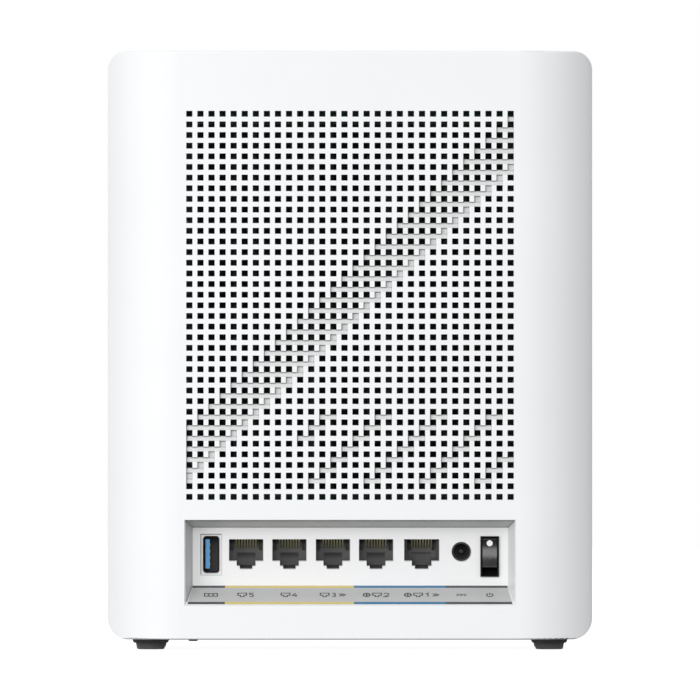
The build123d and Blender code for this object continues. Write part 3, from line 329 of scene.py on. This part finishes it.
def jack_plastic(name, mouth=None, latch_x=None):
    """Dark grey housing with painted shade: darker below the wires, blacker in the latch's space and under
    the roof.

    latch_x is the middle of a painted shadow band above the latch's space, and mouth the
    colour of a shield round the opening.
    """
    g = moulded(name, JACK_GREY, 0.5, grain=3000.0, depth=0.012 * MM)
    height = g.axis("Z")
    wires_low, wires_high = (corner.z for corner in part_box("network_contacts_1"))
    # painted shade: darker from the wires down, darker still in the latch's space, and nearly black under
    # the roof
    color = g.mix(g.ramp(height, wires_low, wires_low + MIDDLE_FADE), JACK_MIDDLE_SHADE, g.color())
    color = g.mix(g.ramp(height, wires_low - LATCH_SPACE, wires_low), LATCH_SHADE_GREY, color)
    color = g.mix(g.ramp(height, wires_high - ROOF_SHADE, wires_high), color, ROOF_SHADE_GREY)
    if latch_x is not None:
        # painted shadow band above the latch's space
        aside = g.math("ABSOLUTE", g.math("SUBTRACT", g.axis("X"), latch_x))
        top = wires_low - SHADOW_BAND_DROP
        shadow_band = g.math("MULTIPLY", g.ramp(aside, SHADOW_BAND_HALF, SHADOW_BAND_HALF + SHADOW_BAND_END, 1.0, 0.0),
                        g.ramp(height, top - SHADOW_BAND_EDGE, top, 1.0, 0.0))
        shadow_band = g.math("MULTIPLY", shadow_band, g.ramp(height, top - SHADOW_BAND_FADE, top - SHADOW_BAND_DEEP))
        color = g.mix(shadow_band, color, SHADOW_BAND_GREY)
    if mouth:
        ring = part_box("network_jack_1")[0].y + SHIELD_DEPTH
        color = g.mix(g.ramp(g.axis("Y"), ring, ring + SHIELD_FADE), mouth, color)
    g.color_from(color)
    return g.material


def usb_blue():
    """Blue tongue on a dark block across the rear end of the shell."""
    g = moulded("usb_blue", (0.097, 0.34, 0.635), 0.4, grain=3000.0, depth=0.012 * MM)
    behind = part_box("usb_contacts")[1].y
    block = g.ramp(g.axis("Y"), behind - SHARP, behind)
    g.color_from(g.mix(block, g.color(), (0.075, 0.075, 0.075)))
    return g.material


def gloss_black():
    """Polished black plastic with faint smears."""
    g = Graph("rocker_gloss", (0.008, 0.008, 0.009), 0.22, specular=0.9)
    smear = g.noise(220.0, 2.0)
    g.roughness_from(g.ramp(smear, 0.3, 0.7, 0.20, 0.27))
    g.bump(g.noise(600.0), 0.004 * MM)
    return g.material


def plated(name, color, roughness, brushed=(1, 1, 1), depth=0.004 * MM, metallic=1.0):
    """Plated or brushed metal with fine streaks."""
    g = Graph(name, color, roughness, metallic=metallic)
    streak = g.noise(1500.0, 3.0, stretch=brushed)
    g.roughness_from(g.ramp(streak, 0.3, 0.7, roughness - 0.06, roughness + 0.1))
    g.color_from(g.mix(g.ramp(streak, 0.35, 0.65), tinted(color, 0.9), tinted(color, 1.05)))
    g.bump(streak, depth)
    return g.material


def circuit_board(name, color):
    """Solder mask with a faint pattern of tracks under it."""
    g = Graph(name, color, 0.32)
    weave = g.node("ShaderNodeTexVoronoi", feature="DISTANCE_TO_EDGE", distance="CHEBYCHEV")
    weave.inputs["Scale"].default_value = 260.0
    g.link(g.place, weave.inputs["Vector"])
    track = g.ramp(weave.outputs["Distance"], 0.02, 0.06)
    g.color_from(g.mix(track, tinted(color, 1.9), color))
    g.bump(track, 0.02 * MM)
    return g.material


def silicone():
    """Soft grey pad with a coarse grain."""
    g = Graph("pad_grey", (0.35, 0.37, 0.42), 0.8)
    grain = g.noise(1200.0, 4.0)
    g.color_from(g.mix(grain, (0.30, 0.32, 0.37), (0.40, 0.42, 0.47)))
    g.bump(grain, 0.05 * MM)
    return g.material


def lens():
    """Frosted light guide with a weak glow."""
    g = Graph("lens_clear", (0.86, 0.90, 0.93), 0.25)
    g.bump(g.noise(700.0), 0.01 * MM)
    g.shader.inputs["Emission Color"].default_value = (0.75, 0.9, 1.0, 1)
    g.shader.inputs["Emission Strength"].default_value = 0.35
    return g.material


def printed(name, color):
    """Ink on the label or the rocker."""
    g = Graph(name, color, 0.45)
    speck = g.noise(4000.0, 3.0)
    g.color_from(g.mix(speck, tinted(color, 0.94), tinted(color, 1.06)))
    g.bump(speck, 0.003 * MM)
    return g.material


FINISHES = {
    "case_white": moulded("case_white", CASE_WHITE, 0.5).material,
    "bay_white": bay_white(),
    "label_grey": label_grey(),
    "foot_rubber": rubber(),
    "black_plastic": dark_plastic("black_plastic", (0.022, 0.022, 0.024), 0.42),
    "rocker_gloss": gloss_black(),
    "gold_contact": plated("gold_contact", (0.80, 0.77, 0.43), 0.42, metallic=0.3),
    "usb_blue": usb_blue(),
    # painted shade: the pin's nickel is nearly black because it sits deep in the socket's bore, where
    # shade falls
    "nickel": plated("nickel", (0.045, 0.045, 0.044), 0.35),
    "black_nickel": plated("black_nickel", (0.022, 0.022, 0.024), 0.38),
    "dark_sink": plated("dark_sink", (0.03, 0.03, 0.031), 0.5, brushed=(3, 3, 0.2), depth=0.01 * MM),
    "can_metal": plated("can_metal", (0.66, 0.66, 0.64), 0.3),
    "pad_grey": silicone(),
    "board_green": circuit_board("board_green", (0.012, 0.05, 0.03)),
    "screw_steel": plated("screw_steel", (0.10, 0.10, 0.10), 0.38),
    "antenna_board": circuit_board("antenna_board", (0.018, 0.018, 0.02)),
    "lead_grey": dark_plastic("lead_grey", (0.12, 0.12, 0.125), 0.5),
    "lens_clear": lens(),
    "button_grey": dark_plastic("button_grey", (0.12, 0.12, 0.125), 0.5),
    "header_cream": moulded("header_cream", (0.70, 0.66, 0.54), 0.5).material,
    "ribbon_white": moulded("ribbon_white", (0.72, 0.72, 0.68), 0.45).material,
    "frame_grey": dark_plastic("frame_grey", (0.035, 0.035, 0.037), 0.6),
}


def own_finishes():
    """Finishes of the nodes that look different from the rest of their material slot."""
    cover = cover_white()
    own = {"rear_cover": cover, "front_cover": cover, "rear_grille": grille_white(),
           "power_switch_frame": moulded("switch_frame", (0.008, 0.008, 0.009), 0.6,
                                         specular=0.25).material,
           "network_jack_5": jack_plastic("shielded_jack", mouth=(0.03, 0.03, 0.03))}
    for number in range(1, 5):
        node = f"network_jack_{number}"
        own[node] = jack_plastic(f"jack_plastic_{number}", latch_x=centre_x(node))
    return own


def dress_nodes():
    """Gives every CAD node its own finish, or that of its material slot."""
    own = own_finishes()
    for part in frame["record"]["subparts"]:
        node = part["node"]
        materials = NODES[node].data.materials
        materials.clear()
        materials.append(own[node] if node in own else FINISHES[part["material_slot"]])


dress_nodes()


# ---- pieces --------------------------------------------------------------------------------
def add_piece(name, mesh, material, body="case"):
    """Links a finished mesh as a piece that rides on a body."""
    piece = bpy.data.objects.new(name, mesh)
    bpy.context.scene.collection.objects.link(piece)
    mesh.materials.append(material)
    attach(piece, body)
    return piece


class Label:
    """The printed face of the port label: x runs to the right and v runs up the slope."""

    def __init__(self):
        mesh = NODES["port_label"].data
        steepest = max(face.normal.z for face in mesh.polygons)
        corners = [mesh.vertices[index].co for face in mesh.polygons
                   if face.normal.z > steepest - 0.01 for index in face.vertices]
        low_y = min(corner.y for corner in corners)
        high_y = max(corner.y for corner in corners)
        lower = [corner for corner in corners if corner.y < (low_y + high_y) / 2]
        upper = [corner for corner in corners if corner.y > (low_y + high_y) / 2]
        self.start = Vector((0, low_y, max(corner.z for corner in lower)))
        rise = Vector((0, high_y, max(corner.z for corner in upper))) - self.start
        self.length = rise.length
        self.up = rise.normalized()
        self.normal = Vector((1, 0, 0)).cross(self.up)
        self.half_widths = [max(corner.x for corner in edge) for edge in (lower, upper)]

    def half_width(self, v):
        low, high = self.half_widths
        return low + (high - low) * v / self.length

    def matrix(self):
        """Takes (x, v, height above the label) to the row frame."""
        columns = Matrix((Vector((1, 0, 0)), self.up, self.normal)).transposed()
        return Matrix.Translation(self.start) @ columns.to_4x4()


LABEL = Label()
INK_HEIGHT = 0.025 * MM


def ink_mesh(name, form, matrix):
    """Gives flat shapes the thickness of ink and moves them to their place."""
    extruded = bmesh.ops.extrude_face_region(form, geom=form.faces[:])
    raised = [item for item in extruded["geom"] if isinstance(item, bmesh.types.BMVert)]
    bmesh.ops.translate(form, verts=raised, vec=(0, 0, INK_HEIGHT))
    bmesh.ops.recalc_face_normals(form, faces=form.faces[:])
    form.transform(matrix)
    mesh = bpy.data.meshes.new(name)
    form.to_mesh(mesh)
    form.free()
    return mesh


def fill(form, outline):
    form.faces.new([form.verts.new((x, v, 0)) for x, v in outline])


def strip(form, points, width, closed=False):
    """Even strip along a line of points, with mitred corners."""
    count = len(points)
    flat = [Vector(point) for point in points]
    sides = []
    for index, here in enumerate(flat):
        before = flat[index - 1] if index > 0 or closed else None
        after = flat[(index + 1) % count] if index < count - 1 or closed else None
        ways = [(b - a).normalized() for a, b in ((before, here), (here, after)) if a and b]
        normals = [Vector((-way.y, way.x)) for way in ways]
        mitre = (normals[0] + normals[-1]).normalized()
        reach = width / 2 / mitre.dot(normals[0])
        sides.append([form.verts.new((*(here + mitre * side * reach), 0)) for side in (-1, 1)])
    for index in range(count if closed else count - 1):
        near = sides[index]
        far = sides[(index + 1) % count]
        form.faces.new((near[0], far[0], far[1], near[1]))


def arc(x, v, radius, start, end, steps):
    """Points on an arc, in degrees."""
    angles = [math.radians(start + (end - start) * step / steps) for step in range(steps + 1)]
    return [(x + radius * math.cos(angle), v + radius * math.sin(angle)) for angle in angles]


# ---- label: colour lines -------------------------------------------------------------------
LINE_WIDTH = 1.5 * MM


def line_spans():
    """Stretches of the label's edge lines: (name, left end, right end).  None is the label's edge."""
    first_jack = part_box("network_jack_1")[0].x
    third_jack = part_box("network_jack_3")[1].x
    fifth_jack = (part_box("network_jack_5")[1].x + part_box("dc_jack")[0].x) / 2
    return (("line_grey_left", None, first_jack), ("line_yellow", first_jack, third_jack),
            ("line_blue", third_jack, fifth_jack), ("line_grey_right", fifth_jack, None))


def label_lines():
    grey = printed("ink_line_grey", (0.075, 0.078, 0.082))
    inks = {"line_grey_left": grey, "line_grey_right": grey,
            "line_yellow": printed("ink_line_yellow", (0.74, 0.60, 0.21)),
            "line_blue": printed("ink_line_blue", (0.045, 0.20, 0.37))}
    for name, left, right in line_spans():
        form = bmesh.new()
        for v0, v1 in ((0, LINE_WIDTH), (LABEL.length - LINE_WIDTH, LABEL.length)):
            corners = []
            for side, end in ((-1, left), (1, right)):
                for v in (v0, v1):
                    corners.append((side * LABEL.half_width(v) if end is None else end, v))
            low_left, high_left, low_right, high_right = corners
            fill(form, (low_left, low_right, high_right, high_left))
        mesh = ink_mesh(name, form, LABEL.matrix())
        add_piece("label_" + name, mesh, inks[name])


label_lines()


# ---- label: generic marks under the sockets ------------------------------------------------
MARK_HEIGHT = 2.45 * MM
STROKE = 0.44 * MM
MARK_GAP = 0.95 * MM
NUMERAL_WIDTH = 1.75 * MM


def numeral_one(form, x, v):
    """Every mark fills a box whose lower left corner is at (x, v), and returns its width."""
    stem = x + 0.6 * NUMERAL_WIDTH
    strip(form, [(x + 0.1 * NUMERAL_WIDTH, v + 0.72 * MARK_HEIGHT), (stem, v + MARK_HEIGHT),
                 (stem, v)], STROKE)
    return NUMERAL_WIDTH


def numeral_two(form, x, v):
    radius = NUMERAL_WIDTH / 2
    bow = arc(x + radius, v + MARK_HEIGHT - radius, radius, 165, -30, 9)
    strip(form, bow + [(x, v), (x + NUMERAL_WIDTH, v)], STROKE)
    return NUMERAL_WIDTH


def numeral_three(form, x, v):
    radius = MARK_HEIGHT / 4
    middle = x + 0.45 * NUMERAL_WIDTH
    upper = arc(middle, v + 3 * radius, radius, 150, -80, 10)
    lower = arc(middle, v + radius, radius, 80, -150, 10)
    strip(form, upper + lower, STROKE)
    return NUMERAL_WIDTH


def numeral_four(form, x, v):
    bar = v + 0.32 * MARK_HEIGHT
    stem = x + 0.72 * NUMERAL_WIDTH
    strip(form, [(x + 0.62 * NUMERAL_WIDTH, v + MARK_HEIGHT), (x, bar), (stem - STROKE / 2, bar)], STROKE)
    strip(form, [(stem, v), (stem, v + 0.62 * MARK_HEIGHT)], STROKE)
    fill(form, ((stem + STROKE / 2, bar - STROKE / 2), (x + NUMERAL_WIDTH, bar - STROKE / 2),
                (x + NUMERAL_WIDTH, bar + STROKE / 2), (stem + STROKE / 2, bar + STROKE / 2)))
    return NUMERAL_WIDTH


def numeral_five(form, x, v):
    radius = 0.31 * MARK_HEIGHT
    left = x + 0.1 * NUMERAL_WIDTH
    bow = arc(x + 0.42 * NUMERAL_WIDTH, v + radius, radius, 125, -145, 12)
    strip(form, [(x + 0.92 * NUMERAL_WIDTH, v + MARK_HEIGHT), (left, v + MARK_HEIGHT)] + bow, STROKE)
    return NUMERAL_WIDTH


def port_mark(form, x, v):
    """Outline of a network socket."""
    width = 3.1 * MM
    shoulder = v + 0.36 * MARK_HEIGHT
    notch_left = x + 0.3 * width
    notch_right = x + 0.7 * width
    strip(form, [(x, shoulder), (notch_left, shoulder), (notch_left, v), (notch_right, v),
                 (notch_right, shoulder), (x + width, shoulder), (x + width, v + MARK_HEIGHT),
                 (x, v + MARK_HEIGHT)], STROKE, closed=True)
    return width


def globe_mark(form, x, v):
    """Circle with one meridian and an equator."""
    radius = MARK_HEIGHT / 2
    middle = x + radius
    strip(form, arc(middle, v + radius, radius, 0, 345, 23), STROKE, closed=True)
    inner = radius - STROKE / 2
    for start, end in ((STROKE / 2, radius - STROKE / 2), (radius + STROKE / 2, MARK_HEIGHT - STROKE / 2)):
        strip(form, [(middle, v + start), (middle, v + end)], STROKE)
    strip(form, [(middle - inner, v + radius), (middle + inner, v + radius)], STROKE)
    return MARK_HEIGHT


def fast_mark(form, x, v):
    """Two chevrons."""
    width = 1.2 * MM
    pitch = 1.1 * MM
    for start in (x, x + pitch):
        strip(form, [(start, v + 0.12 * MARK_HEIGHT), (start + width, v + MARK_HEIGHT / 2),
                     (start, v + 0.88 * MARK_HEIGHT)], STROKE)
    return width + pitch


def usb_mark(form, x, v):
    """Front of a flat plug with its two square holes."""
    width = 4.6 * MM
    half_hole = 0.4 * MM
    strip(form, [(x, v + 0.1 * MARK_HEIGHT), (x + width, v + 0.1 * MARK_HEIGHT),
                 (x + width, v + 0.9 * MARK_HEIGHT), (x, v + 0.9 * MARK_HEIGHT)], STROKE, closed=True)
    for share in (0.32, 0.68):
        middle = x + share * width
        strip(form, [(middle - half_hole, v + MARK_HEIGHT / 2), (middle + half_hole, v + MARK_HEIGHT / 2)],
              2 * STROKE)
    return width


def direct_current_mark(form, x, v):
    """A full line over three dashes."""
    width = 3.6 * MM
    dash = 0.9 * MM
    pitch = (width - dash) / 2
    strip(form, [(x, v + 0.68 * MARK_HEIGHT), (x + width, v + 0.68 * MARK_HEIGHT)], STROKE)
    for number in range(3):
        start = x + number * pitch
        strip(form, [(start, v + 0.32 * MARK_HEIGHT), (start + dash, v + 0.32 * MARK_HEIGHT)], STROKE)
    return width


def power_mark(form, x, v):
    """Open circle with a bar at the top."""
    radius = 0.46 * MARK_HEIGHT
    middle = x + radius
    strip(form, arc(middle, v + radius, radius, 122, 418, 26), STROKE)
    strip(form, [(middle, v + radius), (middle, v + 1.02 * MARK_HEIGHT)], STROKE)
    return 2 * radius


MARKS = (("usb", "usb_shell", (usb_mark,)),
         ("port_5", "network_jack_1", (port_mark, numeral_five)),
         ("port_4", "network_jack_2", (port_mark, numeral_four)),
         ("port_3", "network_jack_3", (port_mark, numeral_three, fast_mark)),
         ("port_2", "network_jack_4", (globe_mark, port_mark, numeral_two)),
         ("port_1", "network_jack_5", (globe_mark, port_mark, numeral_one, fast_mark)),
         ("dc", "dc_jack", (direct_current_mark,)),
         ("power", "power_rocker", (power_mark,)))


def row_width(marks):
    """Width of a row of marks, found by drawing it once."""
    form = bmesh.new()
    width = sum(mark(form, 0, 0) for mark in marks) + MARK_GAP * (len(marks) - 1)
    form.free()
    return width


def label_marks():
    ink = printed("ink_marks", (0.05, 0.051, 0.053))
    base = (LABEL.length - MARK_HEIGHT) / 2
    for name, node, marks in MARKS:
        form = bmesh.new()
        x = centre_x(node) - row_width(marks) / 2
        for mark in marks:
            x += mark(form, x, base) + MARK_GAP
        add_piece("label_mark_" + name, ink_mesh(name, form, LABEL.matrix()), ink)


label_marks()


# ---- rocker dot ----------------------------------------------------------------------------
DOT_RADIUS = 1.08 * MM
DOT_DROP = 1.75 * MM            # from the rocker's upper end to the dot's middle
DOT_RINGS = 4
DOT_STEPS = 40


def rocker_dot():
    """White dot printed on the hollow face of the rocker, near its upper end."""
    rocker = NODES["power_rocker"]
    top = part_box("power_rocker")[1].z
    middle = Vector((centre_x("power_rocker"), REAR_FACE, top - DOT_DROP))

    form = bmesh.new()

    def vertex(x, z, lift):
        """Vertex above the rocker's face, or in it where lift is negative."""
        place = rocker.ray_cast(middle + Vector((x, 0, z)), Vector((0, 1, 0)))[1]
        return form.verts.new(place + Vector((0, -lift, 0)))

    def ring(radius, lift):
        angles = [2 * math.pi * step / DOT_STEPS for step in range(DOT_STEPS)]
        return [vertex(radius * math.cos(angle), radius * math.sin(angle), lift) for angle in angles]

    rings = [[vertex(0, 0, INK_HEIGHT)]]
    rings += [ring(DOT_RADIUS * number / DOT_RINGS, INK_HEIGHT) for number in range(1, DOT_RINGS + 1)]
    rings.append(ring(DOT_RADIUS, -INK_HEIGHT))
    for inner, outer in zip(rings, rings[1:]):
        for step in range(DOT_STEPS):
            after = (step + 1) % DOT_STEPS
            corners = [outer[step], outer[after], inner[after % len(inner)], inner[step % len(inner)]]
            form.faces.new(list(dict.fromkeys(corners)))
    form.faces.new(reversed(rings[-1]))
    bmesh.ops.recalc_face_normals(form, faces=form.faces[:])
    mesh = bpy.data.meshes.new("rocker_dot")
    form.to_mesh(mesh)
    form.free()
    add_piece("rocker_dot", mesh, printed("ink_white", (0.93, 0.93, 0.93)), "power_rocker")


rocker_dot()


# ---- studio --------------------------------------------------------------------------------
WORLD_LEVEL = 0.12
WORLD_SIDES = 0.62
WORLD_SLOPE = (0.0, 0.0, 0.42)
WORLD_FLOOR = 0.02
FLOOR_RADIUS = 3.0
DOME_RADIUS = 7.35              # just wider than the camera's distance in every view
# name, place, width and height, radiance, whether glossy surfaces reflect it
SOFTBOXES = (("softbox_rear_left", (-0.60, -0.80, 0.11), (0.5, 0.9), 2.3, True),
             ("softbox_front_left", (-0.60, 0.80, 0.11), (0.5, 0.9), 1.1, True),
             ("softbox_rear", (-0.10, -2.0, 0.60), (1.2, 0.8), 3.1, True),
             ("softbox_fill", (-0.15, -2.0, 0.14), (0.4, 0.3), 17.5, False),
             ("softbox_front", (0.0, 2.0, 0.60), (1.2, 0.7), 5.0, True))


def make_world():
    """Weak even light that is brighter from both sides and from above."""
    world = bpy.data.worlds.new("studio_light")
    bpy.context.scene.world = world
    world.use_nodes = True
    tree = world.node_tree
    background = tree.nodes["Background"]
    background.inputs["Color"].default_value = (0.985, 0.992, 1.0, 1)
    way = tree.nodes.new("ShaderNodeTexCoord").outputs["Generated"]

    slope = tree.nodes.new("ShaderNodeVectorMath")
    slope.operation = "DOT_PRODUCT"
    slope.inputs[1].default_value = WORLD_SLOPE
    tree.links.new(way, slope.inputs[0])
    split = tree.nodes.new("ShaderNodeSeparateXYZ")
    tree.links.new(way, split.inputs["Vector"])

    def calculate(operation, first, *others):
        made = tree.nodes.new("ShaderNodeMath")
        made.operation = operation
        tree.links.new(first, made.inputs[0])
        for socket, value in zip(made.inputs[1:], others):
            if isinstance(value, float):
                socket.default_value = value
            else:
                tree.links.new(value, socket)
        return made.outputs[0]

    sideways = calculate("ABSOLUTE", split.outputs["X"])
    level = calculate("MULTIPLY_ADD", sideways, WORLD_SIDES, WORLD_LEVEL)
    total = calculate("ADD", level, slope.outputs["Value"])
    tree.links.new(calculate("MAXIMUM", total, WORLD_FLOOR), background.inputs["Strength"])


def softbox(name, place, size, radiance, glossy):
    """Rectangular lamp that faces the middle of the case."""
    data = bpy.data.lights.new(name, "AREA")
    data.shape = "RECTANGLE"
    data.size, data.size_y = size
    data.energy = radiance * math.pi * size[0] * size[1]
    lamp = bpy.data.objects.new(name, data)
    bpy.context.scene.collection.objects.link(lamp)
    lamp.location = place
    aim = Vector((0, 0, CASE_MIDDLE_Z)) - Vector(place)
    lamp.rotation_euler = aim.to_track_quat("-Z", "Y").to_euler()
    lamp.visible_camera = False
    lamp.visible_glossy = glossy


def stage_material(name, color, emission=0.0):
    material = bpy.data.materials.new(name)
    material.use_nodes = True
    shader = material.node_tree.nodes["Principled BSDF"]
    shader.inputs["Base Color"].default_value = (color, color, color, 1)
    shader.inputs["Roughness"].default_value = 0.9
    shader.inputs["Specular IOR Level"].default_value = 0.0
    shader.inputs["Emission Color"].default_value = (1, 1, 1, 1)
    shader.inputs["Emission Strength"].default_value = emission
    return material


def stage_disc(name, radius, material):
    """Flat disc on the floor's level."""
    mesh = bpy.data.meshes.new(name)
    form = bmesh.new()
    bmesh.ops.create_circle(form, cap_ends=True, segments=96, radius=radius)
    form.to_mesh(mesh)
    form.free()
    disc = bpy.data.objects.new(name, mesh)
    mesh.materials.append(material)
    bpy.context.scene.collection.objects.link(disc)
    return disc


def camera_only(obj):
    obj.visible_diffuse = False
    obj.visible_glossy = False
    obj.visible_transmission = False
    obj.visible_volume_scatter = False
    obj.visible_shadow = False


def make_stage():
    """A white floor and white surroundings that only the camera sees."""
    camera_only(stage_disc("floor_seen", FLOOR_RADIUS, stage_material("floor_white", 0.25, 0.93)))
    mesh = bpy.data.meshes.new("surroundings")
    form = bmesh.new()
    bmesh.ops.create_uvsphere(form, u_segments=48, v_segments=24, radius=DOME_RADIUS)
    form.to_mesh(mesh)
    form.free()
    mesh.materials.append(stage_material("surroundings_white", 0.0, 1.0))
    dome = bpy.data.objects.new("surroundings", mesh)
    bpy.context.scene.collection.objects.link(dome)
    camera_only(dome)


make_world()
for box in SOFTBOXES:
    softbox(*box)
make_stage()
bpy.context.scene.view_settings.view_transform = "Standard"
